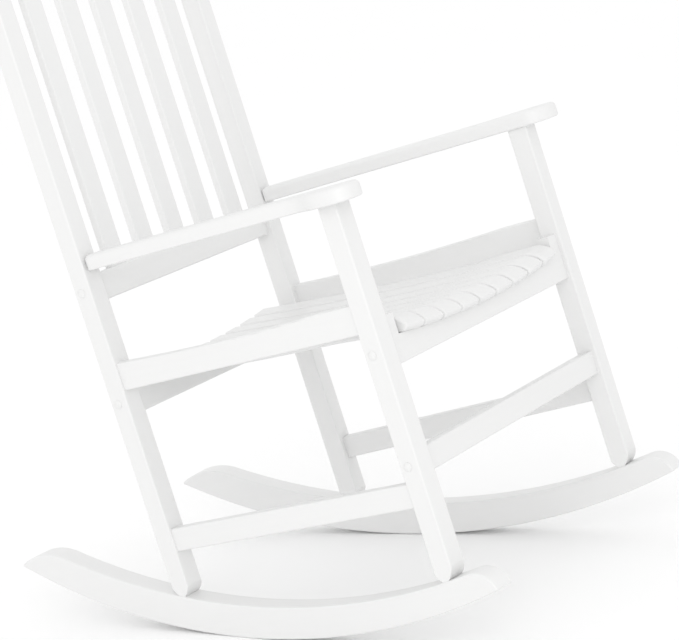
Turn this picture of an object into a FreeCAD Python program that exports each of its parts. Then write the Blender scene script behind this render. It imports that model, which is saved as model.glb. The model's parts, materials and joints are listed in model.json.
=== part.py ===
"""Porch rocking chair: two splayed side frames joined by cross members, with slatted seat and back.

The chair is drawn in its own frame: X runs from the sitter's right to left, Y runs backwards and
Z runs up along the back posts.  Lengths called "forward" are measured from the rear face of the
posts towards the front.  At the end of each piece the whole chair is leaned back until its
balance point stands over the place where the rockers touch the floor.
"""
import math
import os

import FreeCAD
import Part
import Sketcher

Vector = FreeCAD.Vector
Rotation = FreeCAD.Rotation
Placement = FreeCAD.Placement

X_AXIS = Vector(1, 0, 0)
Y_AXIS = Vector(0, 1, 0)
Z_AXIS = Vector(0, 0, 1)

RIGHT = -1
LEFT = 1
SIDES = {"right": RIGHT, "left": LEFT}

DRIVING_SIZES = {
    # stance
    "splay_angle": 4.2,
    "lean_angle": 11.17,
    "half_width_rear": 247.0,
    # posts and legs
    "post_depth": 31.0,
    "post_width": 33.0,
    "post_top": 770.0,
    "leg_forward": 468.0,
    "foot_flat": 9.0,
    "foot_rise": 24.0,
    "foot_round": 30.0,
    "arris": 2.5,
    # side rails and stretchers
    "rail_inset": 4.0,
    "rail_thickness": 19.0,
    "rail_bottom": 0.0,
    "rail_height": 41.0,
    "rail_dip": 4.5,
    "stretcher_bottom": -243.5,
    "stretcher_height": 34.0,
    "tenon_length": 15.0,
    "tenon_thickness": 9.0,
    "tenon_shoulder": 5.0,
    # arms
    "arm_bottom": 178.5,
    "arm_thickness": 22.0,
    "arm_front": 536.0,
    "arm_waist": 412.0,
    "arm_flare": 506.0,
    "arm_outer_waist": 0.0,
    "arm_inner_side": 39.0,
    "arm_outer_nose": -26.0,
    "arm_butt_round": 16.0,
    "arm_outer_corner": 22.0,
    "arm_inner_corner": 34.0,
    "arm_edge_round": 7.0,
    # rockers
    "rocker_inset": -2.0,
    "rocker_thickness": 37.0,
    "sole_forward": 310.0,
    "sole_up": 646.0,
    "sole_radius": 1047.5,
    "saddle_forward": 342.0,
    "saddle_up": 753.5,
    "saddle_radius": 1110.5,
    "rocker_rear": -278.0,
    "rocker_front": 563.0,
    "rocker_rear_shoulder": -195.0,
    "rocker_front_shoulder": 522.0,
    "rear_tip_radius": 95.0,
    "front_tip_radius": 36.0,
    # cross members
    "board_thickness": 20.0,
    "member_edge_round": 2.5,
    "lower_rail_bottom": 130.0,
    "lower_rail_height": 40.5,
    "crest_bottom": 682.0,
    "crest_height": 62.0,
    "crest_arch": 18.0,
    "rear_apron_bottom": -38.5,
    "front_apron_bottom": -54.5,
    "front_stretcher_bottom": -203.0,
    "front_stretcher_height": 35.0,
    "slat_dish": 12.5,
    "rear_seat_rest": 2.0,
    "front_seat_rest": -16.0,
    "apron_shoulder": 30.0,
    # back slats
    "back_slat_width": 38.0,
    "back_slat_thickness": 12.0,
    "back_slat_housing": 12.0,
    # seat slats
    "seat_half_front": 222.0,
    "seat_half_rear": 191.0,
    "seat_front": 508.0,
    "seat_rear": -4.0,
    "slat_gap": 4.5,
    "slat_thickness": 17.0,
    "slat_sweep_radius": 5600.0,
    "slat_crown_radius": 700.0,
    "slat_nose_radius": 40.0,
    "slat_lip_radius": 12.0,
    "slat_edge_round": 4.0,
    # fastenings
    "bolt_radius": 3.0,
    "bolt_head_radius": 6.0,
    "bolt_head_height": 3.0,
    "bolt_head_depth": 9.0,
    "bolt_reach": 42.0,
    "cap_radius": 6.5,
    "cap_dome": 2.2,
    "cap_plug": 4.0,
    "nut_radius": 5.0,
    "nut_length": 12.0,
    "dowel_radius": 3.5,
    "dowel_depth": 14.0,
    "fit_gap": 0.1,
}

BACK_SLATS = 5
SEAT_SLATS = 9


class Size:
    """A length that carries both its number and the spreadsheet expression that gives it."""

    def __init__(self, value, text):
        self.value = float(value)
        self.text = text

    def _join(self, other, sign, value):
        return Size(value, "(%s %s %s)" % (self.text, sign, size(other).text))

    def __add__(self, other):
        return self._join(other, "+", self.value + size(other).value)

    def __sub__(self, other):
        return self._join(other, "-", self.value - size(other).value)

    def __mul__(self, other):
        return self._join(other, "*", self.value * size(other).value)

    def __truediv__(self, other):
        return self._join(other, "/", self.value / size(other).value)

    def __neg__(self):
        return Size(-self.value, "(0 - %s)" % self.text)

    def root(self):
        return Size(math.sqrt(self.value), "sqrt(%s)" % self.text)

    def cosine(self):
        return Size(math.cos(math.radians(self.value)), "cos(%s * 1 deg)" % self.text)

    def tangent(self):
        return Size(math.tan(math.radians(self.value)), "tan(%s * 1 deg)" % self.text)

    __radd__ = __add__

    def __rsub__(self, other):
        return size(other) - self


def size(number):
    """Return the number as a Size."""
    if isinstance(number, Size):
        return number
    return Size(number, "%.6f" % number)


def number(length):
    """Return the plain number of a Size or of a number."""
    return size(length).value


doc = FreeCAD.newDocument("RockingChair")
sheet = doc.addObject("Spreadsheet::Sheet", "Dimensions")
for row, (alias, value) in enumerate(DRIVING_SIZES.items(), start=1):
    sheet.set("A%d" % row, alias.replace("_", " "))
    sheet.set("B%d" % row, str(value))
    sheet.setAlias("B%d" % row, alias)
doc.recompute()


def dim(alias):
    """Return one driving dimension as a Size bound to its cell."""
    return Size(DRIVING_SIZES[alias], "Dimensions.%s" % alias)


def bind(feature, name, length):
    """Set a property of a feature and tie it to the spreadsheet."""
    setattr(feature, name, number(length))
    feature.setExpression(name, size(length).text)


# ---------------------------------------------------------------- frames of reference

lean = number(dim("lean_angle"))


def floor_lift():
    """Height that puts the lowest line of the rockers on the floor once the chair leans."""
    tilt = math.radians(lean)
    centre = number(dim("sole_forward")) * math.sin(tilt) + number(dim("sole_up")) * math.cos(tilt)
    return number(dim("sole_radius")) - centre


CENTRE_BACK = 198.700
chair = Placement(Vector(0, CENTRE_BACK, floor_lift()), Rotation(X_AXIS, -lean))


def side_turn(side):
    """Return a side frame's place in the chair: its rear outer edge, turned by the splay."""
    edge = Vector(side * number(dim("half_width_rear")), 0, 0)
    return Placement(edge, Rotation(Z_AXIS, side * number(dim("splay_angle"))))


def side_frame(side):
    """Return a side frame's place in the room."""
    return chair.multiply(side_turn(side))


def inward(side, depth):
    """Return the X of a plane that lies the given depth inside a side frame's outer face."""
    return depth * -side


def inner_half_width(forward):
    """Return half the clear width between the side frames at a distance forward."""
    angle = dim("splay_angle")
    return dim("half_width_rear") - dim("post_width") / angle.cosine() + forward * angle.tangent()


def saddle(forward):
    """Return the height of the rockers' hollow top at a distance forward."""
    run = forward - dim("saddle_forward")
    return dim("saddle_up") - (dim("saddle_radius") * dim("saddle_radius") - run * run).root()


def sole(forward):
    """Return the height of the rockers' round underside at a distance forward."""
    run = forward - dim("sole_forward")
    return dim("sole_up") - (dim("sole_radius") * dim("sole_radius") - run * run).root()


# ---------------------------------------------------------------- drawing helpers

def new_body(label, placement):
    """Start a body for one sub-part."""
    body = doc.addObject("PartDesign::Body", label)
    body.Label = label
    body.Placement = placement
    return body


def origin_plane(body, role):
    """Return one of the body's own origin planes."""
    for feature in body.Origin.OriginFeatures:
        if feature.Role == role:
            return feature
    raise ValueError("no origin plane " + role)


def new_sketch(body, role, name, offset=0.0):
    """Put an empty sketch on an origin plane of the body, moved along the plane's normal."""
    sketch = body.newObject("Sketcher::SketchObject", name)
    sketch.AttachmentSupport = [(origin_plane(body, role), "")]
    sketch.MapMode = "FlatFace"
    if number(offset):
        sketch.AttachmentOffset = Placement(Vector(0, 0, number(offset)), Rotation())
        sketch.setExpression("AttachmentOffset.Base.z", size(offset).text)
    doc.recompute()
    return sketch


def pin_point(sketch, geometry, end, point):
    """Hold one end of an edge at a point whose coordinates come from the spreadsheet."""
    for kind, length in zip(("DistanceX", "DistanceY"), point):
        rule = Sketcher.Constraint(kind, -1, 1, geometry, end, number(length))
        index = sketch.addConstraint(rule)
        sketch.setExpression("Constraints[%d]" % index, size(length).text)


def arc_through(start, end, radius, bulge):
    """Return the arc of a radius between two points; bulge +1 keeps its centre on the left."""
    chord = end - start
    half = chord.Length / 2
    rise = math.sqrt(radius * radius - half * half)
    left = Vector(-chord.y, chord.x, 0).normalize()
    centre = (start + end) * 0.5 + left * (rise * bulge)
    middle = centre + ((start + end) * 0.5 - centre).normalize() * radius
    return Part.Arc(start, middle, end)


def outline(sketch, corners, arcs=None):
    """Draw a closed outline; arcs maps the index of an edge to its (radius, bulge)."""
    arcs = arcs or {}
    for index, corner in enumerate(corners):
        following = corners[(index + 1) % len(corners)]
        start = Vector(number(corner[0]), number(corner[1]), 0)
        end = Vector(number(following[0]), number(following[1]), 0)
        if index in arcs:
            radius, bulge = arcs[index]
            edge = sketch.addGeometry(arc_through(start, end, number(radius), bulge))
            rule = sketch.addConstraint(Sketcher.Constraint("Radius", edge, number(radius)))
            sketch.setExpression("Constraints[%d]" % rule, size(radius).text)
            forwards = sketch.getPoint(edge, 1).distanceToPoint(start) < 1e-4
            ends = (1, 2) if forwards else (2, 1)
        else:
            edge = sketch.addGeometry(Part.LineSegment(start, end))
            ends = (1, 2)
        pin_point(sketch, edge, ends[0], corner)
        pin_point(sketch, edge, ends[1], following)
    doc.recompute()


def side_outline(sketch, corners, arcs=None):
    """Draw an outline given as (forward, up) pairs on a plane whose first axis points back."""
    turned = [(-size(forward), up) for forward, up in corners]
    bulges = {index: (radius, -bulge) for index, (radius, bulge) in (arcs or {}).items()}
    outline(sketch, turned, bulges)


def rectangle(sketch, left, bottom, right, top):
    """Draw a rectangle whose four sides are tied to the spreadsheet."""
    outline(sketch, [(left, bottom), (right, bottom), (right, top), (left, top)])


def circle(sketch, centre, radius):
    """Draw a circle with a bound centre and radius."""
    middle = Vector(number(centre[0]), number(centre[1]), 0)
    index = sketch.addGeometry(Part.Circle(middle, Z_AXIS, number(radius)))
    pin_point(sketch, index, 3, centre)
    rule = sketch.addConstraint(Sketcher.Constraint("Radius", index, number(radius)))
    sketch.setExpression("Constraints[%d]" % rule, size(radius).text)


def pad(body, sketch, length, name="Blank"):
    """Give a sketch a thickness, half to each side of its plane."""
    feature = body.newObject("PartDesign::Pad", name)
    feature.Profile = sketch
    bind(feature, "Length", length)
    feature.Midplane = True
    doc.recompute()
    return feature


def cut_through(body, sketch, name):
    """Cut a sketch right through the body, both ways from its plane."""
    feature = body.newObject("PartDesign::Pocket", name)
    feature.Profile = sketch
    feature.Type = 1
    feature.Midplane = True
    doc.recompute()
    return feature


def block(body, kind, name, corner, extents):
    """Add or remove a square block: kind is Additive or Subtractive."""
    feature = body.newObject("PartDesign::%sBox" % kind, name)
    for prop, length in zip(("Length", "Width", "Height"), extents):
        bind(feature, prop, length)
    feature.Placement = Placement(Vector(*[number(c) for c in corner]), Rotation())
    doc.recompute()
    return feature


def bore(body, name, mouth, direction, radius, depth):
    """Drill a round hole from its mouth along a direction."""
    feature = body.newObject("PartDesign::SubtractiveCylinder", name)
    bind(feature, "Radius", radius)
    bind(feature, "Height", depth)
    feature.Placement = Placement(mouth, Rotation(Z_AXIS, direction))
    doc.recompute()
    return feature


def soften(body, radius, chosen, name="SoftEdges"):
    """Round the edges of the tip that the chosen test accepts."""
    tip = body.Tip
    edges = []
    for index, edge in enumerate(tip.Shape.Edges, start=1):
        if chosen(edge):
            edges.append("Edge%d" % index)
    feature = body.newObject("PartDesign::Fillet", name)
    feature.Base = (tip, edges)
    bind(feature, "Radius", radius)
    doc.recompute()
    return feature


def runs_along(edge, axis):
    """Tell whether a straight edge runs along an axis."""
    if edge.Curve.TypeId != "Part::GeomLine":
        return False
    return abs(abs(edge.Curve.Direction.dot(axis)) - 1) < 1e-6


def fastener_group(label, solids):
    """Put identical loose solids, already in the chair's place, into one node."""
    feature = doc.addObject("Part::Feature", label)
    feature.Label = label
    feature.Shape = Part.makeCompound(solids)
    return feature


# ---------------------------------------------------------------- where the bolts go

post_middle = dim("post_depth") / 2
leg_middle = dim("leg_forward") + dim("post_depth") / 2
leg_front = dim("leg_forward") + dim("post_depth")
lower_rail_middle = dim("lower_rail_bottom") + dim("lower_rail_height") / 2
crest_middle = dim("crest_bottom") + dim("crest_height") / 2
rear_apron_middle = dim("rear_apron_bottom") + 22
front_apron_middle = dim("front_apron_bottom") + 25
front_stretcher_middle = dim("front_stretcher_bottom") + dim("front_stretcher_height") / 2

POST_BOLTS = {
    "Crest": crest_middle,
    "LowerRail": lower_rail_middle,
    "RearApron": rear_apron_middle,
}
LEG_BOLTS = {
    "FrontApron": front_apron_middle,
    "FrontStretcher": front_stretcher_middle,
}


nut_depth = dim("post_width") + dim("bolt_reach") - 12


def bolt_line(middle):
    """Return where a bolt enters: a little behind the middle, so its nut lies as far ahead.

    The bolts are square to the splayed side frames, so they drift forward inside the boards.
    """
    return middle - nut_depth * dim("splay_angle").tangent() / 2


def bolt_seats(side):
    """List the (forward, up) places of the bolts in one side frame."""
    seats = [(number(bolt_line(post_middle)), number(up)) for up in POST_BOLTS.values()]
    seats += [(number(bolt_line(leg_middle)), number(up)) for up in LEG_BOLTS.values()]
    return seats


def bolt_bores(body, side, forward, bolts):
    """Drill an upright for its bolts, with a counterbore for head and cap from outside."""
    direction = Vector(-side, 0, 0)
    for name, up in bolts.items():
        mouth = Vector(0, -number(bolt_line(forward)), number(up))
        bore(body, name + "Bore", mouth, direction, dim("bolt_radius") + dim("fit_gap"),
             dim("post_width"))
        bore(body, name + "Seat", mouth, direction, dim("bolt_head_radius") + dim("fit_gap"),
             dim("bolt_head_depth"))


# ---------------------------------------------------------------- side frame uprights

rail_middle = dim("rail_inset") + dim("rail_thickness") / 2
rocker_middle = dim("rocker_inset") + dim("rocker_thickness") / 2


def side_sketch(body, side, depth):
    """Start a sketch that looks at the side frame from its side, a depth inside its face."""
    return new_sketch(body, "YZ_Plane", body.Label + "_outline", inward(side, depth))


def mortise(body, side, name, mouth, into, bottom, height):
    """Cut the mortise for a rail tenon; into is +1 towards the front and -1 towards the back."""
    gap = dim("fit_gap")
    deep = dim("tenon_length") + 1
    wide = dim("tenon_thickness") + gap * 2
    tall = height - dim("tenon_shoulder") * 2 + gap * 2
    back = -mouth - deep if into > 0 else -mouth
    corner = (inward(side, rail_middle) - wide / 2, back, bottom + dim("tenon_shoulder") - gap)
    block(body, "Subtractive", name, corner, (wide, deep, tall))


def foot_corners(forward):
    """List the foot of an upright from its rear corner to its front corner."""
    middle = forward + dim("post_depth") / 2
    heel = middle - dim("foot_flat") / 2
    toe = middle + dim("foot_flat") / 2
    return [
        (forward, saddle(forward) + dim("foot_rise") * 0.55),
        (heel, saddle(heel)),
        (toe, saddle(toe)),
        (forward + dim("post_depth"), saddle(forward + dim("post_depth")) + dim("foot_rise") * 0.75),
    ]


def upright(label, side, forward, top, bolts, into):
    """Make a post or a leg: a square stick with a shaped foot, mortises and bolt bores."""
    body = new_body(label, side_frame(side))
    sketch = side_sketch(body, side, dim("post_width") / 2)
    corners = foot_corners(forward) + [(forward + dim("post_depth"), top), (forward, top)]
    side_outline(sketch, corners, {0: (dim("foot_round"), 1), 2: (dim("foot_round"), 1)})
    pad(body, sketch, dim("post_width"))
    soften(body, dim("arris"), lambda edge: runs_along(edge, Z_AXIS), "LongArrises")
    mouth = forward if into > 0 else forward + dim("post_depth")
    mortise(body, side, "RailMortise", mouth, into, dim("rail_bottom"), dim("rail_height"))
    mortise(body, side, "StretcherMortise", mouth, into, dim("stretcher_bottom"),
            dim("stretcher_height"))
    middle = forward + dim("post_depth") / 2
    bolt_bores(body, side, middle, bolts)
    foot = Vector(number(inward(side, rocker_middle)), -number(middle), number(saddle(middle)) - 1)
    bore(body, "FootDowelBore", foot, Z_AXIS, dim("dowel_radius"), dim("dowel_depth") + 2)
    return body


def make_back_post(name, side):
    """Make a back post, which runs from the crest down to the rocker."""
    body = upright("back_post_" + name, side, size(0), dim("post_top"), POST_BOLTS, -1)
    top = number(dim("post_top"))
    soften(body, 5, lambda edge: edge.BoundBox.ZMin > top - 0.01, "RoundedTop")
    middle = dim("arm_bottom") + dim("arm_thickness") / 2
    mouth = Vector(number(inward(side, dim("post_width") * 0.66)), -number(dim("post_depth")) - 1,
                   number(middle))
    bore(body, "ArmDowelBore", mouth, Y_AXIS, dim("dowel_radius"), dim("dowel_depth") + 1)
    return body


def make_front_leg(name, side):
    """Make a front leg, which runs from under the arm down to the rocker."""
    body = upright("front_leg_" + name, side, dim("leg_forward"), dim("arm_bottom"), LEG_BOLTS, 1)
    mouth = Vector(number(inward(side, dim("post_width") / 2)), -number(leg_middle),
                   number(dim("arm_bottom")) + 1)
    bore(body, "ArmDowelBore", mouth, -Z_AXIS, dim("dowel_radius"), dim("dowel_depth") + 1)
    return body


# ---------------------------------------------------------------- side rails and stretchers

def tenons(body, side, bottom, height):
    """Add a tenon to each end of a rail that runs from the post to the leg."""
    wide = dim("tenon_thickness")
    tall = height - dim("tenon_shoulder") * 2
    left = inward(side, rail_middle) - wide / 2
    low = bottom + dim("tenon_shoulder")
    block(body, "Additive", "RearTenon", (left, -dim("post_depth"), low),
          (wide, dim("tenon_length"), tall))
    block(body, "Additive", "FrontTenon", (left, -dim("leg_forward") - dim("tenon_length"), low),
          (wide, dim("tenon_length"), tall))


def make_side_seat_rail(name, side):
    """Make a side seat rail with a shallow dip in its top edge."""
    body = new_body("side_seat_rail_" + name, side_frame(side))
    sketch = side_sketch(body, side, rail_middle)
    low = dim("rail_bottom")
    high = low + dim("rail_height")
    rear = dim("post_depth")
    front = dim("leg_forward")
    dip_end = front - 68
    dip_run = dip_end - rear
    dip_radius = dip_run * dip_run / (dim("rail_dip") * 8) + dim("rail_dip") / 2
    corners = [(rear, low), (front, low), (front, high), (dip_end, high), (rear, high)]
    side_outline(sketch, corners, {3: (dip_radius, -1)})
    pad(body, sketch, dim("rail_thickness"))
    soften(body, dim("member_edge_round"), lambda edge: edge.Length > 60, "EdgeRound")
    tenons(body, side, low, dim("rail_height"))
    return body


def make_side_stretcher(name, side):
    """Make a straight side stretcher."""
    body = new_body("side_stretcher_" + name, side_frame(side))
    sketch = side_sketch(body, side, rail_middle)
    low = dim("stretcher_bottom")
    high = low + dim("stretcher_height")
    rear = dim("post_depth")
    front = dim("leg_forward")
    side_outline(sketch, [(rear, low), (front, low), (front, high), (rear, high)])
    pad(body, sketch, dim("rail_thickness"))
    soften(body, dim("member_edge_round"), lambda edge: edge.Length > 60, "EdgeRound")
    tenons(body, side, low, dim("stretcher_height"))
    return body


# ---------------------------------------------------------------- rockers

def make_rocker(name, side):
    """Make a rocker: a round sole, a hollow saddle, a pointed heel and a blunt toe."""
    body = new_body("rocker_" + name, side_frame(side))
    sketch = side_sketch(body, side, rocker_middle)
    rear = dim("rocker_rear")
    front = dim("rocker_front")
    heel = dim("rocker_rear_shoulder")
    toe = dim("rocker_front_shoulder")
    corners = [(rear, sole(rear)), (front, sole(front)), (toe, saddle(toe)), (heel, saddle(heel))]
    arcs = {
        0: (dim("sole_radius"), 1),
        1: (dim("front_tip_radius"), 1),
        2: (dim("saddle_radius"), -1),
        3: (dim("rear_tip_radius"), 1),
    }
    side_outline(sketch, corners, arcs)
    pad(body, sketch, dim("rocker_thickness"))
    soften(body, dim("arris"), lambda edge: edge.Length > 35, "LongArrises")
    for place, forward in (("Post", post_middle), ("Leg", leg_middle)):
        mouth = Vector(number(inward(side, rocker_middle)), -number(forward), number(saddle(forward)) + 2)
        bore(body, place + "DowelBore", mouth, -Z_AXIS, dim("dowel_radius"), dim("dowel_depth") + 3)
    return body


# ---------------------------------------------------------------- arms

def make_arm(name, side):
    """Make an arm board: straight on its inner side, flared outwards to a rounded nose in front."""
    body = new_body("arm_" + name, side_frame(side))
    low = dim("arm_bottom")
    thick = dim("arm_thickness")
    sketch = new_sketch(body, "XY_Plane", body.Label + "_outline", low + thick / 2)
    butt = dim("post_depth")
    round_ = dim("arm_butt_round")
    outer_corner = dim("arm_outer_corner")
    inner_corner = dim("arm_inner_corner")
    inner = dim("arm_inner_side")
    waist = dim("arm_outer_waist")
    nose = dim("arm_outer_nose")
    front = dim("arm_front")
    flare_run = dim("arm_flare") - dim("arm_waist")
    flare_out = waist - nose
    flare_radius = (flare_run * flare_run + flare_out * flare_out) / (flare_out * 4)
    plan = [
        (waist + round_, butt),
        (inner - round_, butt),
        (inner, butt + round_),
        (inner, front - inner_corner),
        (inner - inner_corner, front),
        (nose + outer_corner, front),
        (nose, front - outer_corner),
        (nose, dim("arm_flare")),
        ((waist + nose) / 2, (dim("arm_waist") + dim("arm_flare")) / 2),
        (waist, dim("arm_waist")),
        (waist, butt + round_),
    ]
    arcs = {
        1: (round_, 1),
        3: (inner_corner, 1),
        5: (outer_corner, 1),
        7: (flare_radius, 1),
        8: (flare_radius, -1),
        10: (round_, 1),
    }
    corners = [(inward(side, depth), -forward) for depth, forward in plan]
    outline(sketch, corners, {index: (radius, bulge * side) for index, (radius, bulge) in arcs.items()})
    pad(body, sketch, thick)
    top = number(low + thick)
    bottom = number(low)
    soften(body, dim("arm_edge_round"), lambda edge: edge.BoundBox.ZMin > top - 0.01, "TopRound")
    soften(body, 3, lambda edge: edge.BoundBox.ZMax < bottom + 0.01, "BottomRound")
    post_mouth = Vector(number(inward(side, dim("post_width") * 0.66)), -number(butt) + 1,
                        number(low + thick / 2))
    bore(body, "PostDowelBore", post_mouth, -Y_AXIS, dim("dowel_radius"), dim("dowel_depth") + 2)
    leg_mouth = Vector(number(inward(side, dim("post_width") / 2)), -number(leg_middle), bottom - 1)
    bore(body, "LegDowelBore", leg_mouth, Z_AXIS, dim("dowel_radius"), dim("dowel_depth") + 1)
    return body


# ---------------------------------------------------------------- cross members

def cross_board(label, middle, low, high):
    """Make a board between the side frames, its ends cut to the splay."""
    body = new_body(label, chair)
    sketch = new_sketch(body, "XY_Plane", label + "_plan", (low + high) / 2)
    rear = middle - dim("board_thickness") / 2
    front = middle + dim("board_thickness") / 2
    corners = [
        (-inner_half_width(front), -front),
        (inner_half_width(front), -front),
        (inner_half_width(rear), -rear),
        (-inner_half_width(rear), -rear),
    ]
    outline(sketch, corners)
    pad(body, sketch, high - low)
    return body


def end_bolt_bores(body, middle, up):
    """Drill both ends of a cross board for its bolt and across it for the barrel nut."""
    for name, side in SIDES.items():
        turn = side_turn(side)
        mouth = turn.multVec(Vector(number(inward(side, dim("post_width"))) + side,
                                    -number(bolt_line(middle)), number(up)))
        direction = turn.Rotation.multVec(Vector(-side, 0, 0))
        bore(body, name + "BoltBore", mouth, direction, dim("bolt_radius") + dim("fit_gap"),
             dim("bolt_reach") + 1)
        nut = nut_place(side, bolt_line(middle), up)
        back = nut.multVec(Vector(0, 0, -number(dim("board_thickness"))))
        bore(body, name + "NutBore", back, nut.Rotation.multVec(Z_AXIS),
             dim("nut_radius") + dim("fit_gap"),
             dim("board_thickness") + dim("nut_length") / 2 + dim("fit_gap"))


def nut_place(side, forward, up):
    """Return a barrel nut's middle in the chair, its length pointing forward."""
    local = Vector(number(inward(side, nut_depth)), -number(forward), number(up))
    return side_turn(side).multiply(Placement(local, Rotation(Z_AXIS, -Y_AXIS)))


def soften_long_edges(body):
    """Round the long edges of a cross board."""
    soften(body, dim("member_edge_round"), lambda edge: edge.Length > 150, "LongEdges")


def slat_housings(body, bottom):
    """Cut a housing for the end of every back slat, upwards from a height."""
    gap = dim("fit_gap")
    wide = dim("back_slat_width") + gap * 2
    deep = dim("back_slat_thickness") + gap * 2
    tall = dim("back_slat_housing") + gap
    for index in range(BACK_SLATS):
        corner = (back_slat_x(index) - wide / 2, -post_middle - deep / 2, bottom)
        block(body, "Subtractive", "Housing%d" % (index + 1), corner, (wide, deep, tall))


def back_slat_x(index):
    """Return the middle of a back slat, the slats and gaps being equal across the back."""
    clear = inner_half_width(post_middle) * 2
    gap = (clear - dim("back_slat_width") * BACK_SLATS) / (BACK_SLATS + 1)
    pitch = gap + dim("back_slat_width")
    return pitch * (index - (BACK_SLATS - 1) / 2)


def make_lower_back_rail():
    """Make the rail that holds the lower ends of the back slats."""
    low = dim("lower_rail_bottom")
    high = low + dim("lower_rail_height")
    body = cross_board("lower_back_rail", post_middle, low, high)
    soften_long_edges(body)
    slat_housings(body, high - dim("back_slat_housing"))
    end_bolt_bores(body, post_middle, lower_rail_middle)
    return body


def make_crest_rail():
    """Make the crest rail, with an arched top."""
    low = dim("crest_bottom")
    edge = low + dim("crest_height")
    high = edge + dim("crest_arch")
    body = cross_board("crest_rail", post_middle, low, high)
    half = inner_half_width(post_middle) + 3
    radius = half * half / (dim("crest_arch") * 2) + dim("crest_arch") / 2
    sketch = new_sketch(body, "XZ_Plane", "crest_arch_line")
    outline(sketch, [(-half, edge), (half, edge), (half, high + 5), (-half, high + 5)],
            {0: (radius, -1)})
    cut_through(body, sketch, "Arch")
    soften_long_edges(body)
    slat_housings(body, low)
    end_bolt_bores(body, post_middle, crest_middle)
    return body


def make_front_stretcher():
    """Make the straight stretcher between the front legs."""
    low = dim("front_stretcher_bottom")
    body = cross_board("front_stretcher", leg_middle, low, low + dim("front_stretcher_height"))
    soften_long_edges(body)
    end_bolt_bores(body, leg_middle, front_stretcher_middle)
    return body


def make_apron(label, middle, low, rest, half, bolt_up, place):
    """Make an apron whose top is hollowed to carry the seat slats."""
    shoulder = rest + dim("apron_shoulder") if place == "front" else rest + 12
    body = cross_board(label, middle, low, shoulder)
    dish = dim("slat_dish")
    radius = half * half / (dish * 2) + dish / 2
    reach = half + 4
    sketch = new_sketch(body, "XZ_Plane", label + "_dish")
    corners = [(-half, rest), (half, rest), (reach, rest), (reach, shoulder + 5),
               (-reach, shoulder + 5), (-reach, rest)]
    outline(sketch, corners, {0: (radius, 1)})
    cut_through(body, sketch, "Dish")
    bottom = number(low)
    soften(body, dim("member_edge_round"),
           lambda edge: edge.Length > 400 and edge.BoundBox.ZMax < bottom + 0.01, "LongEdges")
    end_bolt_bores(body, middle, bolt_up)
    for index in range(SEAT_SLATS):
        point, direction = seat_dowel(index, middle, rest)
        bore(body, "SlatDowelBore%d" % (index + 1), point + direction, -direction,
             dim("dowel_radius"), dim("dowel_depth") - 2)
    return body


# ---------------------------------------------------------------- seat

def seat_fraction(index):
    """Return how far a seat slat lies from the middle: -1 at the right edge, +1 at the left."""
    return (index - (SEAT_SLATS - 1) / 2) / (SEAT_SLATS / 2)


def seat_slat_place(index):
    """Return a seat slat's place in the chair: fanned, lowered and tilted into the dish."""
    fraction = seat_fraction(index)
    rear_x = fraction * number(dim("seat_half_rear"))
    front_x = fraction * number(dim("seat_half_front"))
    run = number(dim("seat_front") - dim("seat_rear"))
    fan = math.degrees(math.atan((front_x - rear_x) / run))
    at_zero = rear_x - (front_x - rear_x) / run * number(dim("seat_rear"))
    dish = number(dim("slat_dish"))
    half = number(dim("seat_half_front") + dim("seat_half_rear")) / 2
    tilt = math.degrees(math.atan(2 * dish * fraction / half))
    base = Vector(at_zero, 0, 0.25 - dish * (1 - fraction * fraction))
    return Placement(base, Rotation(Z_AXIS, fan).multiply(Rotation(Y_AXIS, -tilt)))


def seat_dowel(index, middle, rest):
    """Return a seat dowel's crossing of the joint and its upward direction in the chair."""
    place = seat_slat_place(index)
    local = Vector(0, -number(middle), number(rest))
    return place.multVec(local), place.Rotation.multVec(Z_AXIS)


def make_seat_slat(index):
    """Make one seat slat: dished along its length, with a waterfall front and tapered sides."""
    body = new_body("seat_slat_%d" % (index + 1), chair.multiply(seat_slat_place(index)))
    rear = dim("seat_rear")
    front = dim("seat_front")
    rear_rest = dim("rear_seat_rest")
    front_rest = dim("front_seat_rest")
    hollow = front - 128
    crown = front - 38
    profile = [
        (rear, rear_rest),
        (rear + 34, rear_rest),
        (hollow, front_rest + 4.5),
        (crown, front_rest),
        (front - 11, front_rest),
        (front, front_rest + 8.5),
        (crown, front_rest + 24),
        (hollow, front_rest + 4.5 + dim("slat_thickness")),
        (rear, rear_rest + 21),
    ]
    sweep = dim("slat_sweep_radius")
    arcs = {
        1: (sweep, 1),
        4: (dim("slat_lip_radius"), 1),
        5: (dim("slat_nose_radius"), 1),
        6: (dim("slat_crown_radius"), 1),
        7: (sweep, -1),
    }
    sketch = new_sketch(body, "YZ_Plane", "slat_profile_%d" % (index + 1))
    side_outline(sketch, profile, arcs)
    front_width = dim("seat_half_front") * 2 / SEAT_SLATS - dim("slat_gap")
    rear_width = dim("seat_half_rear") * 2 / SEAT_SLATS - dim("slat_gap")
    pad(body, sketch, front_width)
    taper = new_sketch(body, "XY_Plane", "slat_taper_%d" % (index + 1))
    waste = front_width / 2 + 5
    outline(taper, [(rear_width / 2, -rear), (front_width / 2, -front), (waste, -front),
                    (waste, -rear)])
    outline(taper, [(-rear_width / 2, -rear), (-waste, -rear), (-waste, -front),
                    (-front_width / 2, -front)])
    cut_through(body, taper, "Taper")
    soften(body, dim("slat_edge_round"), is_upper_slat_edge, "UpperEdges")
    for name, middle, rest in (("Rear", post_middle, rear_rest), ("Front", leg_middle, front_rest)):
        mouth = Vector(0, -number(middle), number(rest) - 1)
        bore(body, name + "DowelBore", mouth, Z_AXIS, dim("dowel_radius"), 11)
    return body


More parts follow.
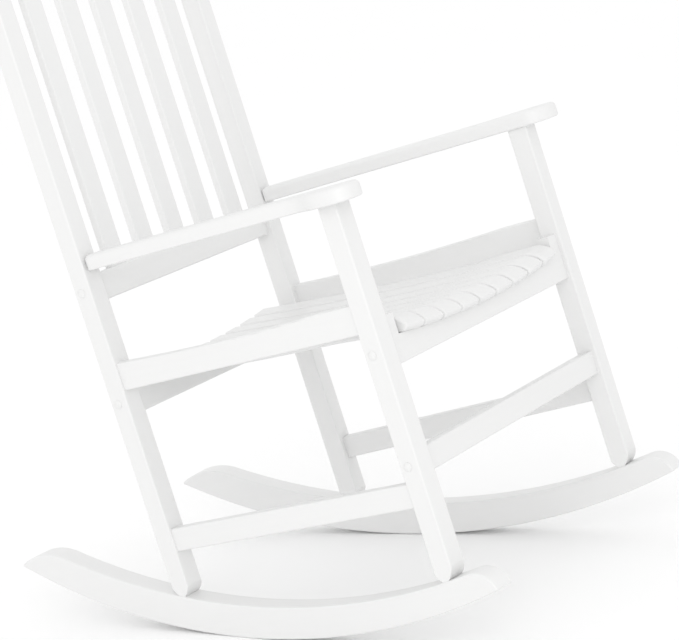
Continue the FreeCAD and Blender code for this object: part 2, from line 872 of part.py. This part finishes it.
def is_upper_slat_edge(edge):
    """Tell whether an edge is one of the two long upper side edges of a seat slat."""
    if edge.Length < 18:
        return False
    box = edge.BoundBox
    sideways = box.XLength > 20
    low = number(dim("front_seat_rest"))
    below = box.Center.z < low + 6 or (box.YLength > 200 and box.Center.z < 0)
    return not sideways and not below


# ---------------------------------------------------------------- back slats

def make_back_slat(index):
    """Make one flat back slat, housed in the crest rail and the lower back rail."""
    body = new_body("back_slat_%d" % (index + 1), chair)
    low = dim("lower_rail_bottom") + dim("lower_rail_height") - dim("back_slat_housing") + 0.5
    high = dim("crest_bottom") + dim("back_slat_housing") - 0.5
    sketch = new_sketch(body, "XY_Plane", "back_slat_plan_%d" % (index + 1), (low + high) / 2)
    middle = back_slat_x(index)
    wide = dim("back_slat_width")
    deep = dim("back_slat_thickness")
    rectangle(sketch, middle - wide / 2, -post_middle - deep / 2, middle + wide / 2,
              -post_middle + deep / 2)
    pad(body, sketch, high - low)
    soften(body, 2, lambda edge: runs_along(edge, Z_AXIS), "LongEdges")
    return body


# ---------------------------------------------------------------- fastenings

def turned(profile):
    """Return the solid turned about Z from an outline of (radius, height) points."""
    edges = []
    points = [Vector(radius, 0, height) for radius, height in profile]
    for start, end in zip(points, points[1:] + points[:1]):
        if start.distanceToPoint(end) > 1e-6:
            edges.append(Part.makeLine(start, end))
    face = Part.Face(Part.Wire(edges))
    return face.revolve(Vector(0, 0, 0), Z_AXIS, 360)


def placed(shape, placement):
    """Return a copy of a shape moved to a place."""
    copy = shape.copy()
    copy.Placement = placement.multiply(copy.Placement)
    return copy


def bolt_axis(side, forward, up, depth):
    """Return the place on a bolt's line at a depth inside the outer face, pointing inwards."""
    local = Vector(number(inward(side, depth)), -forward, up)
    return side_frame(side).multiply(Placement(local, Rotation(Z_AXIS, Vector(-side, 0, 0))))


def make_bolt_caps():
    """Make the domed caps that cover the bolt heads."""
    radius = number(dim("cap_radius"))
    plug = number(dim("bolt_head_radius"))
    dome = number(dim("cap_dome"))
    ball = (radius * radius + dome * dome) / (2 * dome)
    cap = Part.makeCylinder(plug, number(dim("cap_plug")))
    ball_solid = Part.makeSphere(ball, Vector(0, 0, ball - dome))
    slab = Part.makeBox(40, 40, dome, Vector(-20, -20, -dome))
    cap = cap.fuse(ball_solid.common(slab)).removeSplitter()
    caps = []
    for side in SIDES.values():
        for forward, up in bolt_seats(side):
            caps.append(placed(cap.Solids[0], bolt_axis(side, forward, up, size(0))))
    return fastener_group("bolt_caps", caps)


def make_frame_bolts():
    """Make the bolts that draw the side frames onto the cross members."""
    reach = number(dim("post_width") + dim("bolt_reach") - dim("bolt_head_depth"))
    head = Part.makeCylinder(number(dim("bolt_head_radius")), number(dim("bolt_head_height")))
    shank = Part.makeCylinder(number(dim("bolt_radius")), reach)
    socket = Part.makeCylinder(1.8, 2)
    bolt = head.translated(Vector(0, 0, -number(dim("bolt_head_height")))).fuse(shank)
    bolt = bolt.cut(socket.translated(Vector(0, 0, -number(dim("bolt_head_height"))))).removeSplitter()
    bolts = []
    for side in SIDES.values():
        for forward, up in bolt_seats(side):
            place = bolt_axis(side, forward, up, dim("bolt_head_depth"))
            bolts.append(placed(bolt.Solids[0], place))
    return fastener_group("frame_bolts", bolts)


def make_barrel_nuts():
    """Make the cross-drilled barrel nuts that the bolts screw into."""
    length = number(dim("nut_length"))
    nut = Part.makeCylinder(number(dim("nut_radius")), length, Vector(0, 0, -length / 2))
    thread = Part.makeCylinder(number(dim("bolt_radius")), 20, Vector(-10, 0, 0), X_AXIS)
    nut = nut.cut(thread)
    nuts = []
    for side in SIDES.values():
        for forward, up in bolt_seats(side):
            local = nut_place(side, forward, up)
            nuts.append(placed(aligned_nut(nut, local, side), chair))
    return fastener_group("barrel_nuts", nuts)


def aligned_nut(nut, place, side):
    """Turn a nut about its own length until its thread lies along the bolt."""
    across = side_turn(side).Rotation.multVec(X_AXIS)
    now = place.Rotation.multVec(X_AXIS)
    along = place.Rotation.multVec(Z_AXIS)
    angle = math.degrees(math.atan2(along.dot(now.cross(across)), now.dot(across)))
    spin = Placement(Vector(), Rotation(Z_AXIS, angle))
    return placed(nut.Solids[0], place.multiply(spin))


def peg(below, above):
    """Return a dowel that reaches below and above its origin, with eased ends."""
    radius = number(dim("dowel_radius"))
    ease = 0.8
    profile = [(0, -below), (radius - ease, -below), (radius, -below + ease),
               (radius, above - ease), (radius - ease, above), (0, above)]
    return turned(profile)


def make_rocker_dowels():
    """Make the dowels that hold the posts and legs on the rockers."""
    deep = number(dim("dowel_depth"))
    dowels = []
    for side in SIDES.values():
        for forward in (post_middle, leg_middle):
            local = Vector(number(inward(side, rocker_middle)), -number(forward), number(saddle(forward)))
            place = side_frame(side).multiply(Placement(local, Rotation()))
            dowels.append(placed(peg(deep - 1, deep - 1), place))
    return fastener_group("rocker_dowels", dowels)


def make_arm_dowels():
    """Make the dowels that hold each arm to its post and on its leg."""
    deep = number(dim("dowel_depth")) - 1
    middle = number(dim("arm_bottom") + dim("arm_thickness") / 2)
    dowels = []
    for side in SIDES.values():
        butt = Vector(number(inward(side, dim("post_width") * 0.66)), -number(dim("post_depth")), middle)
        place = Placement(butt, Rotation(Z_AXIS, -Y_AXIS))
        dowels.append(placed(peg(deep, deep), side_frame(side).multiply(place)))
        top = Vector(number(inward(side, dim("post_width") / 2)), -number(leg_middle),
                     number(dim("arm_bottom")))
        dowels.append(placed(peg(deep, deep - 1), side_frame(side).multiply(Placement(top, Rotation()))))
    return fastener_group("arm_dowels", dowels)


def make_seat_dowels():
    """Make the hidden dowels that hold the seat slats on the two aprons."""
    below = number(dim("dowel_depth")) - 4
    rests = ((post_middle, dim("rear_seat_rest")), (leg_middle, dim("front_seat_rest")))
    dowels = []
    for index in range(SEAT_SLATS):
        for middle, rest in rests:
            point, direction = seat_dowel(index, middle, rest)
            place = chair.multiply(Placement(point, Rotation(Z_AXIS, direction)))
            dowels.append(placed(peg(below, 9), place))
    return fastener_group("seat_dowels", dowels)


# ---------------------------------------------------------------- the whole chair

def build_chair():
    """Make every sub-part and return them in order."""
    parts = []
    for name, side in SIDES.items():
        parts.append(make_back_post(name, side))
        parts.append(make_front_leg(name, side))
        parts.append(make_side_seat_rail(name, side))
        parts.append(make_side_stretcher(name, side))
        parts.append(make_rocker(name, side))
        parts.append(make_arm(name, side))
    parts.append(make_crest_rail())
    parts.append(make_lower_back_rail())
    parts.append(make_front_stretcher())
    parts.append(make_apron("rear_apron", post_middle, dim("rear_apron_bottom"),
                            dim("rear_seat_rest"), dim("seat_half_rear"), rear_apron_middle, "rear"))
    parts.append(make_apron("front_apron", leg_middle, dim("front_apron_bottom"),
                            dim("front_seat_rest"), dim("seat_half_front"), front_apron_middle, "front"))
    for index in range(BACK_SLATS):
        parts.append(make_back_slat(index))
    for index in range(SEAT_SLATS):
        parts.append(make_seat_slat(index))
    parts.append(make_bolt_caps())
    parts.append(make_frame_bolts())
    parts.append(make_barrel_nuts())
    parts.append(make_rocker_dowels())
    parts.append(make_arm_dowels())
    parts.append(make_seat_dowels())
    return parts


def check_document():
    """Stop if any object of the document failed to recompute."""
    failed = [item.Label for item in doc.Objects if {"Invalid", "Error"} & set(item.State)]
    if failed:
        raise RuntimeError("did not recompute: " + ", ".join(failed))


def export(parts):
    """Check each sub-part's shape and write it to its own STEP file."""
    os.makedirs("parts", exist_ok=True)
    for part in parts:
        if part.Shape.isNull() or not part.Shape.isValid():
            raise RuntimeError("%s has no valid shape" % part.Label)
        part.Shape.exportStep("parts/%s.step" % part.Label)


sub_parts = build_chair()
doc.recompute()
check_document()
export(sub_parts)
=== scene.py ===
"""Finishes, small turned pieces and studio for a painted porch rocking chair.

Laid out as an add-on: one operator for each piece or group of like pieces,
one for the studio, and a panel in the 3D view's sidebar that lists them.
Metres, Z up, the chair's front towards -Y.
"""

import json
import math

import bmesh
import bpy
from bpy.props import FloatProperty, FloatVectorProperty, IntProperty, PointerProperty
from mathutils import Matrix, Vector


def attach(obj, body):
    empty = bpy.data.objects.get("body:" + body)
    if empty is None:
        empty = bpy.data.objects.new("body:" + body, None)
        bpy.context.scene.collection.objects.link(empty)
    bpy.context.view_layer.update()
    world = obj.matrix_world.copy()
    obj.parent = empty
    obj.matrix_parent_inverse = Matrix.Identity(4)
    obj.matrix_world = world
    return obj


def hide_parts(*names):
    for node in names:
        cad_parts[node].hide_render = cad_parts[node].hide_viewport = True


bl_info = {
    "name": "Painted Porch Rocking Chair",
    "version": (1, 0, 0),
    "blender": (4, 5, 0),
    "location": "View3D > Sidebar > Rocking Chair",
    "description": "Paints the chair's boards, adds its moulded bolt caps, and sets up the studio",
    "category": "Object",
}

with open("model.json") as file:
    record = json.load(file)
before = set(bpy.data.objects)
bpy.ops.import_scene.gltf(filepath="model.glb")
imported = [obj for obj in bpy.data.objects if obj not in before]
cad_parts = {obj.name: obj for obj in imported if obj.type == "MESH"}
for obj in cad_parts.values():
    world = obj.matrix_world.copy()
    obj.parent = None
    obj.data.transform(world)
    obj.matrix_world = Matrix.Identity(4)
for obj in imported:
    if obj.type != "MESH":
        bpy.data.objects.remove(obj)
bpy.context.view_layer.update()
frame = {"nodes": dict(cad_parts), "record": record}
record = frame["record"]
slot_of_node = {entry["node"]: entry["material_slot"] for entry in record["subparts"]}

# The chair rests tipped back on its rockers by this angle.
LEAN = math.radians(11.17)
# Each side frame is turned out by this angle towards the front.
SPLAY = math.radians(4.2)
QUARTER_TURN = math.radians(90.0)

# Parts of a cap's radius and of its dome's height, from the crown down to the skirt.
DOME_CURVE = ((0.34, 0.06), (0.62, 0.22), (0.82, 0.46), (0.88, 0.62), (1.0, 0.68))
# Points closer together than this are one point.
SAME_POINT = 1e-6

FLOOR_RADIUS = 14.0
KEY_LIGHT_PLACE = (-3.9, -2.2, 2.0)
KEY_LIGHT_AIM = (0.0, 0.0, 0.45)
KEY_LIGHT_SIZE = 3.0
SENSOR_WIDTH = 36.0


# ---------------------------------------------------------------- settings


class PaintSettings(bpy.types.PropertyGroup):
    """Colour and surface of the satin paint on every board."""

    colour: FloatVectorProperty(
        name="Paint colour", description="Colour of the satin paint",
        subtype="COLOR", size=3, min=0.0, max=1.0, default=(0.785, 0.785, 0.782))
    thin_colour: FloatVectorProperty(
        name="Thin paint colour", description="Colour where the coat lies thinner over the grain",
        subtype="COLOR", size=3, min=0.0, max=1.0, default=(0.767, 0.767, 0.761))
    grain_depth: FloatProperty(
        name="Grain depth", description="Height of the grain that shows through the paint",
        subtype="DISTANCE", unit="LENGTH", min=0.0, max=0.001, default=0.00006)
    brush_depth: FloatProperty(
        name="Brush mark depth", description="Height of the ridges that the brush leaves",
        subtype="DISTANCE", unit="LENGTH", min=0.0, max=0.001, default=0.00005)


class CapSettings(bpy.types.PropertyGroup):
    """Sizes and colour of the moulded caps over the bolts."""

    colour: FloatVectorProperty(
        name="Cap colour", description="Colour of the moulded plastic",
        subtype="COLOR", size=3, min=0.0, max=1.0, default=(0.79, 0.79, 0.785))
    rim_bevel: FloatProperty(
        name="Rim rounding", description="Radius of the rounded rim of a cap",
        subtype="DISTANCE", unit="LENGTH", min=0.0001, max=0.002, default=0.0003)
    sides: IntProperty(
        name="Cap sides", description="Number of faces round a cap", min=16, max=96, default=48)


class StudioSettings(bpy.types.PropertyGroup):
    """Camera, floor and lights."""

    camera_place: FloatVectorProperty(
        name="Camera place", description="Where the camera stands", subtype="TRANSLATION",
        unit="LENGTH", size=3, default=(-3.3237, -2.2356, 1.2048))
    camera_aim: FloatVectorProperty(
        name="Camera aim", description="The point that the camera faces",
        subtype="TRANSLATION", unit="LENGTH", size=3, default=(0.0, -0.0492, 0.3986))
    camera_roll: FloatProperty(
        name="Camera roll", description="How far the camera is turned about its own line of sight",
        subtype="ANGLE", unit="ROTATION", default=math.radians(-8.43))
    lens: FloatProperty(
        name="Lens", description="Focal length for a sensor 36 mm wide", unit="CAMERA",
        min=10.0, max=400.0, default=148.43)
    floor_colour: FloatVectorProperty(
        name="Floor colour", description="Colour of the pale floor",
        subtype="COLOR", size=3, min=0.0, max=1.0, default=(0.975, 0.975, 0.975))
    sky_strength: FloatProperty(
        name="Surround strength", description="Brightness of the white walls all round",
        min=0.0, max=5.0, default=1.03)
    key_power: FloatProperty(
        name="Key light power", description="Power of the large soft light beside the camera",
        unit="POWER", min=0.0, max=2000.0, default=39.0)


# ---------------------------------------------------------------- material helpers


def new_material(name):
    """An empty node material, its tree and its shader."""
    material = bpy.data.materials.new(name)
    material.use_nodes = True
    tree = material.node_tree
    tree.nodes.clear()
    output = tree.nodes.new("ShaderNodeOutputMaterial")
    shader = tree.nodes.new("ShaderNodeBsdfPrincipled")
    tree.links.new(shader.outputs["BSDF"], output.inputs["Surface"])
    return material, tree, shader


def object_space(tree, turn=(0.0, 0.0, 0.0), scale=(1.0, 1.0, 1.0)):
    """Object coordinates, turned so that Z runs along a board, and then stretched."""
    source = tree.nodes.new("ShaderNodeTexCoord")
    mapping = tree.nodes.new("ShaderNodeMapping")
    mapping.inputs["Rotation"].default_value = turn
    tree.links.new(source.outputs["Object"], mapping.inputs["Vector"])
    stretch = tree.nodes.new("ShaderNodeMapping")
    stretch.inputs["Scale"].default_value = scale
    tree.links.new(mapping.outputs["Vector"], stretch.inputs["Vector"])
    return stretch.outputs["Vector"]


def noise(tree, vector, scale, detail=3.0, roughness=0.5, distortion=0.0):
    """A noise texture's grey value."""
    node = tree.nodes.new("ShaderNodeTexNoise")
    node.inputs["Scale"].default_value = scale
    node.inputs["Detail"].default_value = detail
    node.inputs["Roughness"].default_value = roughness
    node.inputs["Distortion"].default_value = distortion
    tree.links.new(vector, node.inputs["Vector"])
    return node.outputs["Fac"]


def spread(tree, value, low_in, high_in, low_out, high_out):
    """A grey value moved from one range to another."""
    node = tree.nodes.new("ShaderNodeMapRange")
    node.inputs["From Min"].default_value = low_in
    node.inputs["From Max"].default_value = high_in
    node.inputs["To Min"].default_value = low_out
    node.inputs["To Max"].default_value = high_out
    tree.links.new(value, node.inputs["Value"])
    return node.outputs["Result"]


def colour_result(tree, factor, first, second):
    """A colour between two colours."""
    node = tree.nodes.new("ShaderNodeMix")
    node.data_type = "RGBA"
    colours = [socket for socket in node.inputs if socket.type == "RGBA"]
    colours[0].default_value = (*first, 1.0)
    colours[1].default_value = (*second, 1.0)
    factors = [socket for socket in node.inputs if socket.type == "VALUE"]
    tree.links.new(factor, factors[0])
    results = [socket for socket in node.outputs if socket.type == "RGBA"]
    return results[0]


def bump(tree, height, depth, below=None):
    """A bump of one height map, laid over another bump when one is given."""
    node = tree.nodes.new("ShaderNodeBump")
    node.inputs["Strength"].default_value = 1.0
    node.inputs["Distance"].default_value = depth
    tree.links.new(height, node.inputs["Height"])
    if below is not None:
        tree.links.new(below, node.inputs["Normal"])
    return node.outputs["Normal"]


# ---------------------------------------------------------------- finishes


def satin_paint(name, turn):
    """Satin paint brushed along a board, with the grain just showing through."""
    settings = bpy.context.scene.rocking_chair_paint
    material, tree, shader = new_material(name)
    along = object_space(tree, turn, (26.0, 26.0, 1.6))
    fine = object_space(tree, turn, (150.0, 150.0, 5.0))
    cloud = noise(tree, object_space(tree), 9.0, 2.0)
    grain = noise(tree, along, 4.0, 5.0, 0.62, 0.6)
    brush = noise(tree, fine, 4.0, 3.0, 0.55)
    thin = spread(tree, grain, 0.38, 0.72, 0.0, 0.55)
    patchy = tree.nodes.new("ShaderNodeMath")
    patchy.operation = "MULTIPLY"
    tree.links.new(thin, patchy.inputs[0])
    tree.links.new(spread(tree, cloud, 0.3, 0.7, 0.35, 1.0), patchy.inputs[1])
    colour = colour_result(tree, patchy.outputs["Value"], settings.colour, settings.thin_colour)
    tree.links.new(colour, shader.inputs["Base Color"])
    tree.links.new(spread(tree, brush, 0.3, 0.7, 0.34, 0.46), shader.inputs["Roughness"])
    pores = bump(tree, grain, settings.grain_depth)
    ridges = bump(tree, brush, settings.brush_depth, below=pores)
    tree.links.new(ridges, shader.inputs["Normal"])
    shader.inputs["Specular IOR Level"].default_value = 0.5
    shader.inputs["Coat Weight"].default_value = 0.12
    shader.inputs["Coat Roughness"].default_value = 0.3
    return material


def moulded_plastic():
    """White moulded plastic with the fine texture of its mould."""
    settings = bpy.context.scene.rocking_chair_caps
    material, tree, shader = new_material("moulded cap plastic")
    space = object_space(tree)
    mottle = noise(tree, space, 260.0, 2.0)
    mould = noise(tree, space, 2600.0, 2.0)
    shade = tuple(part * 0.965 for part in settings.colour)
    colour = colour_result(tree, spread(tree, mottle, 0.3, 0.7, 0.0, 1.0), settings.colour, shade)
    tree.links.new(colour, shader.inputs["Base Color"])
    tree.links.new(spread(tree, mottle, 0.3, 0.7, 0.3, 0.42), shader.inputs["Roughness"])
    tree.links.new(bump(tree, mould, 0.00004), shader.inputs["Normal"])
    shader.inputs["IOR"].default_value = 1.49
    return material


def zinc_plate():
    """Zinc plated steel, bright with a fine crystal mottle."""
    material, tree, shader = new_material("zinc plated steel")
    space = object_space(tree)
    crystals = noise(tree, space, 700.0, 4.0, 0.6)
    scratches = noise(tree, object_space(tree, scale=(20.0, 900.0, 900.0)), 2.0, 3.0)
    colour = colour_result(tree, crystals, (0.52, 0.53, 0.55), (0.72, 0.73, 0.74))
    tree.links.new(colour, shader.inputs["Base Color"])
    tree.links.new(spread(tree, scratches, 0.2, 0.8, 0.24, 0.5), shader.inputs["Roughness"])
    tree.links.new(bump(tree, scratches, 0.00002), shader.inputs["Normal"])
    shader.inputs["Metallic"].default_value = 1.0
    return material


def beech():
    """Bare beech with short dark flecks along the grain."""
    material, tree, shader = new_material("bare beech")
    figure = noise(tree, object_space(tree, scale=(30.0, 30.0, 6.0)), 4.0, 5.0, 0.6)
    flecks = noise(tree, object_space(tree, scale=(420.0, 420.0, 60.0)), 2.0, 3.0)
    colour = colour_result(tree, figure, (0.60, 0.42, 0.25), (0.74, 0.56, 0.37))
    tree.links.new(colour, shader.inputs["Base Color"])
    tree.links.new(spread(tree, flecks, 0.3, 0.7, 0.5, 0.68), shader.inputs["Roughness"])
    tree.links.new(bump(tree, flecks, 0.00008), shader.inputs["Normal"])
    return material


def floor_finish():
    """A pale, even floor with a barely visible mottle."""
    settings = bpy.context.scene.rocking_chair_studio
    material, tree, shader = new_material("pale studio floor")
    mottle = noise(tree, object_space(tree), 3.0, 3.0)
    shade = tuple(part * 0.99 for part in settings.floor_colour)
    colour = colour_result(tree, mottle, settings.floor_colour, shade)
    tree.links.new(colour, shader.inputs["Base Color"])
    shader.inputs["Roughness"].default_value = 0.9
    shader.inputs["Specular IOR Level"].default_value = 0.1
    return material


# ---------------------------------------------------------------- the chair's finish


UPRIGHT_BOARDS = ("back_post_", "front_leg_", "back_slat_")
FORE_AND_AFT_BOARDS = ("side_seat_rail_", "side_stretcher_", "arm_", "rocker_", "seat_slat_")
CROSS_BOARDS = ("crest_rail", "lower_back_rail", "front_stretcher", "rear_apron", "front_apron")


def dress(node_name, material):
    """Gives a CAD node one material all over."""
    node = frame["nodes"][node_name]
    node.data.materials.clear()
    node.data.materials.append(material)


def nodes_starting(prefixes):
    """The CAD nodes whose names start with one of these words."""
    return [name for name in sorted(frame["nodes"]) if name.startswith(prefixes)]


class ROCKING_CHAIR_OT_paint_uprights(bpy.types.Operator):
    """Paint the posts, legs and back slats, brushed up and down"""

    bl_idname = "rocking_chair.paint_uprights"
    bl_label = "Paint Uprights"

    def execute(self, context):
        paint = satin_paint("satin paint, upright boards", (LEAN, 0.0, 0.0))
        for name in nodes_starting(UPRIGHT_BOARDS):
            dress(name, paint)
        return {"FINISHED"}


class ROCKING_CHAIR_OT_paint_side_boards(bpy.types.Operator):
    """Paint the arms, rockers, side rails and seat slats, brushed front to back"""

    bl_idname = "rocking_chair.paint_side_boards"
    bl_label = "Paint Front-to-Back Boards"

    def execute(self, context):
        turn = (LEAN - QUARTER_TURN, 0.0, 0.0)
        paint = satin_paint("satin paint, front-to-back boards", turn)
        for name in nodes_starting(FORE_AND_AFT_BOARDS):
            dress(name, paint)
        return {"FINISHED"}


class ROCKING_CHAIR_OT_paint_cross_boards(bpy.types.Operator):
    """Paint the rails and aprons that run across, brushed side to side"""

    bl_idname = "rocking_chair.paint_cross_boards"
    bl_label = "Paint Cross Boards"

    def execute(self, context):
        paint = satin_paint("satin paint, cross boards", (0.0, QUARTER_TURN, 0.0))
        for name in nodes_starting(CROSS_BOARDS):
            dress(name, paint)
        return {"FINISHED"}


class ROCKING_CHAIR_OT_finish_hardware(bpy.types.Operator):
    """Finish the bolts, barrel nuts and dowels, which sit inside the joints"""

    bl_idname = "rocking_chair.finish_hardware"
    bl_label = "Finish Bolts and Dowels"

    def execute(self, context):
        finishes = {"zinc_steel": zinc_plate(), "dowel_wood": beech(), "cap_plastic": moulded_plastic()}
        for name, slot in slot_of_node.items():
            if slot in finishes:
                dress(name, finishes[slot])
        return {"FINISHED"}


class ROCKING_CHAIR_OT_mould_bolt_caps(bpy.types.Operator):
    """Turn a domed cap over each bolt, in the place of the plain CAD caps"""

    bl_idname = "rocking_chair.mould_bolt_caps"
    bl_label = "Mould Bolt Caps"

    def execute(self, context):
        settings = context.scene.rocking_chair_caps
        blanks = separate_solids(frame["nodes"]["bolt_caps"])
        if not blanks:
            raise RuntimeError("the CAD model has no bolt caps")
        shape = bmesh.new()
        for blank in blanks:
            add_cap(shape, blank, settings)
        mesh = bpy.data.meshes.new("moulded bolt caps")
        shape.to_mesh(mesh)
        shape.free()
        caps = bpy.data.objects.new("moulded_bolt_caps", mesh)
        context.collection.objects.link(caps)
        caps.data.materials.append(moulded_plastic())
        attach(caps, "root")
        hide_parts("bolt_caps")
        return {"FINISHED"}


def separate_solids(node):
    """The points of each loose solid in a CAD node, in the order of the node's own points."""
    copy = bmesh.new()
    copy.from_mesh(node.data)
    bmesh.ops.remove_doubles(copy, verts=copy.verts, dist=SAME_POINT)
    taken = set()
    solids = []
    for start in copy.verts:
        if start in taken:
            continue
        reached = {start}
        edge_of_reach = {start}
        while edge_of_reach:
            beside = {edge.other_vert(vert) for vert in edge_of_reach for edge in vert.link_edges}
            edge_of_reach = beside - reached
            reached |= edge_of_reach
        taken |= reached
        solids.append([vert.co.copy() for vert in copy.verts if vert in reached])
    copy.free()
    return solids


def outward_from_side(side):
    """The direction straight out of a side frame's outer face; side is -1 on the sitter's right."""
    level = Matrix.Rotation(-LEAN, 3, "X")
    turned = Vector((side * math.cos(SPLAY), math.sin(SPLAY), 0.0))
    return (level @ turned).normalized()


def middle_of(numbers):
    """Halfway between the lowest and the highest number."""
    return (min(numbers) + max(numbers)) / 2


def add_cap(shape, blank, settings):
    """Adds one domed cap with a rolled rim and a plug, as large as the CAD cap it stands for."""
    side = math.copysign(1.0, sum(point.x for point in blank))
    turn = outward_from_side(side).to_track_quat("Z", "Y").to_matrix()
    laid = [turn.transposed() @ point for point in blank]
    centre = Vector((middle_of([p.x for p in laid]), middle_of([p.y for p in laid]), 0.0))
    reach = [(p - centre).xy.length for p in laid]
    radius = max(reach)
    top = max(p.z for p in laid)
    foot = min(p.z for p in laid)
    seat = min(p.z for p, out in zip(laid, reach) if out > radius * 0.98)
    plug = max(out for p, out in zip(laid, reach) if p.z < (foot + seat) / 2)
    dome = top - seat
    profile = (
        (0.0, top),
        *[(radius * across, top - dome * down) for across, down in DOME_CURVE],
        (radius, seat),
        (plug, seat),
        (plug, foot),
        (0.0, foot),
    )
    place = turn.to_4x4() @ Matrix.Translation(centre)
    cap = bmesh.new()
    line = [cap.verts.new((across, 0.0, up)) for across, up in profile]
    for first, second in zip(line, line[1:]):
        cap.edges.new((first, second))
    bmesh.ops.spin(
        cap, geom=cap.verts[:] + cap.edges[:], cent=(0.0, 0.0, 0.0), axis=(0.0, 0.0, 1.0),
        angle=math.tau, steps=settings.sides, use_merge=True)
    bmesh.ops.remove_doubles(cap, verts=cap.verts, dist=1e-7)
    rims = [edge for edge in cap.edges if is_rim(edge, radius, seat)]
    bmesh.ops.bevel(
        cap, geom=rims, offset=settings.rim_bevel, offset_type="OFFSET", segments=3,
        profile=0.5, affect="EDGES", material=-1)
    bmesh.ops.recalc_face_normals(cap, faces=cap.faces)
    for face in cap.faces:
        face.smooth = True
    bmesh.ops.transform(cap, matrix=place, verts=cap.verts)
    part = bpy.data.meshes.new("cap")
    cap.to_mesh(part)
    cap.free()
    shape.from_mesh(part)
    bpy.data.meshes.remove(part)


def is_rim(edge, radius, seat):
    """Tells whether an edge runs round the upper corner of a cap's skirt."""
    first, second = (vert.co for vert in edge.verts)
    level = abs(first.z - second.z) < 1e-7
    wide = min(first.xy.length, second.xy.length) > radius * 0.97
    return level and wide and first.z > seat + 1e-5


class ROCKING_CHAIR_OT_set_up_studio(bpy.types.Operator):
    """Lay the pale floor, set the white surround, hang the soft light and place the camera"""

    bl_idname = "rocking_chair.set_up_studio"
    bl_label = "Set Up Studio"

    def execute(self, context):
        settings = context.scene.rocking_chair_studio
        lay_floor()
        white_surround(settings.sky_strength)
        hang_key_light(settings.key_power)
        place_camera(context, settings)
        context.scene.view_settings.view_transform = "Standard"
        return {"FINISHED"}


# ---------------------------------------------------------------- studio


def lay_floor():
    """A wide round floor under the rockers."""
    shape = bmesh.new()
    bmesh.ops.create_circle(shape, cap_ends=True, segments=96, radius=FLOOR_RADIUS)
    mesh = bpy.data.meshes.new("studio floor")
    shape.to_mesh(mesh)
    shape.free()
    floor = bpy.data.objects.new("studio_floor", mesh)
    bpy.context.collection.objects.link(floor)
    floor.data.materials.append(floor_finish())


def white_surround(strength):
    """Even white light from every side, as from studio walls."""
    world = bpy.data.worlds.new("white studio")
    world.use_nodes = True
    background = world.node_tree.nodes["Background"]
    background.inputs["Color"].default_value = (1.0, 1.0, 1.0, 1.0)
    background.inputs["Strength"].default_value = strength
    bpy.context.scene.world = world


def hang_key_light(power):
    """A large square soft light beside the camera, facing the chair."""
    light = bpy.data.lights.new("key light", "AREA")
    light.shape = "SQUARE"
    light.size = KEY_LIGHT_SIZE
    light.energy = power
    lamp = bpy.data.objects.new("key_light", light)
    lamp.location = KEY_LIGHT_PLACE
    direction = Vector(KEY_LIGHT_AIM) - Vector(KEY_LIGHT_PLACE)
    lamp.rotation_euler = direction.to_track_quat("-Z", "Y").to_euler()
    bpy.context.collection.objects.link(lamp)


def place_camera(context, settings):
    """The camera at the sitter's right, rolled a little about its line of sight."""
    data = bpy.data.cameras.new("studio camera")
    data.sensor_width = SENSOR_WIDTH
    data.lens = settings.lens
    data.dof.use_dof = False
    camera = bpy.data.objects.new("studio_camera", data)
    place = Vector(settings.camera_place)
    sight = Vector(settings.camera_aim) - place
    level = sight.to_track_quat("-Z", "Y")
    rolled = level.to_matrix().to_4x4() @ Matrix.Rotation(settings.camera_roll, 4, "Z")
    camera.matrix_world = Matrix.Translation(place) @ rolled
    context.collection.objects.link(camera)
    context.scene.camera = camera


# ---------------------------------------------------------------- panel and registration


class ROCKING_CHAIR_PT_panel(bpy.types.Panel):
    """Lists the chair's pieces and its studio."""

    bl_label = "Rocking Chair"
    bl_idname = "ROCKING_CHAIR_PT_panel"
    bl_space_type = "VIEW_3D"
    bl_region_type = "UI"
    bl_category = "Rocking Chair"

    def draw(self, context):
        for operator in OPERATORS:
            self.layout.operator(operator.bl_idname)
        for name in ("rocking_chair_paint", "rocking_chair_caps", "rocking_chair_studio"):
            settings = getattr(context.scene, name)
            box = self.layout.box()
            for key in settings.__annotations__:
                box.prop(settings, key)


OPERATORS = (
    ROCKING_CHAIR_OT_paint_uprights,
    ROCKING_CHAIR_OT_paint_side_boards,
    ROCKING_CHAIR_OT_paint_cross_boards,
    ROCKING_CHAIR_OT_finish_hardware,
    ROCKING_CHAIR_OT_mould_bolt_caps,
    ROCKING_CHAIR_OT_set_up_studio,
)
SETTINGS = (PaintSettings, CapSettings, StudioSettings)


def register():
    for kind in SETTINGS + OPERATORS + (ROCKING_CHAIR_PT_panel,):
        bpy.utils.register_class(kind)
    bpy.types.Scene.rocking_chair_paint = PointerProperty(type=PaintSettings)
    bpy.types.Scene.rocking_chair_caps = PointerProperty(type=CapSettings)
    bpy.types.Scene.rocking_chair_studio = PointerProperty(type=StudioSettings)


def unregister():
    del bpy.types.Scene.rocking_chair_studio
    del bpy.types.Scene.rocking_chair_caps
    del bpy.types.Scene.rocking_chair_paint
    for kind in reversed(SETTINGS + OPERATORS + (ROCKING_CHAIR_PT_panel,)):
        bpy.utils.unregister_class(kind)


def main():
    register()
    bpy.ops.rocking_chair.paint_uprights()
    bpy.ops.rocking_chair.paint_side_boards()
    bpy.ops.rocking_chair.paint_cross_boards()
    bpy.ops.rocking_chair.finish_hardware()
    bpy.ops.rocking_chair.mould_bolt_caps()
    bpy.ops.rocking_chair.set_up_studio()


if __name__ == "__main__":
    main()
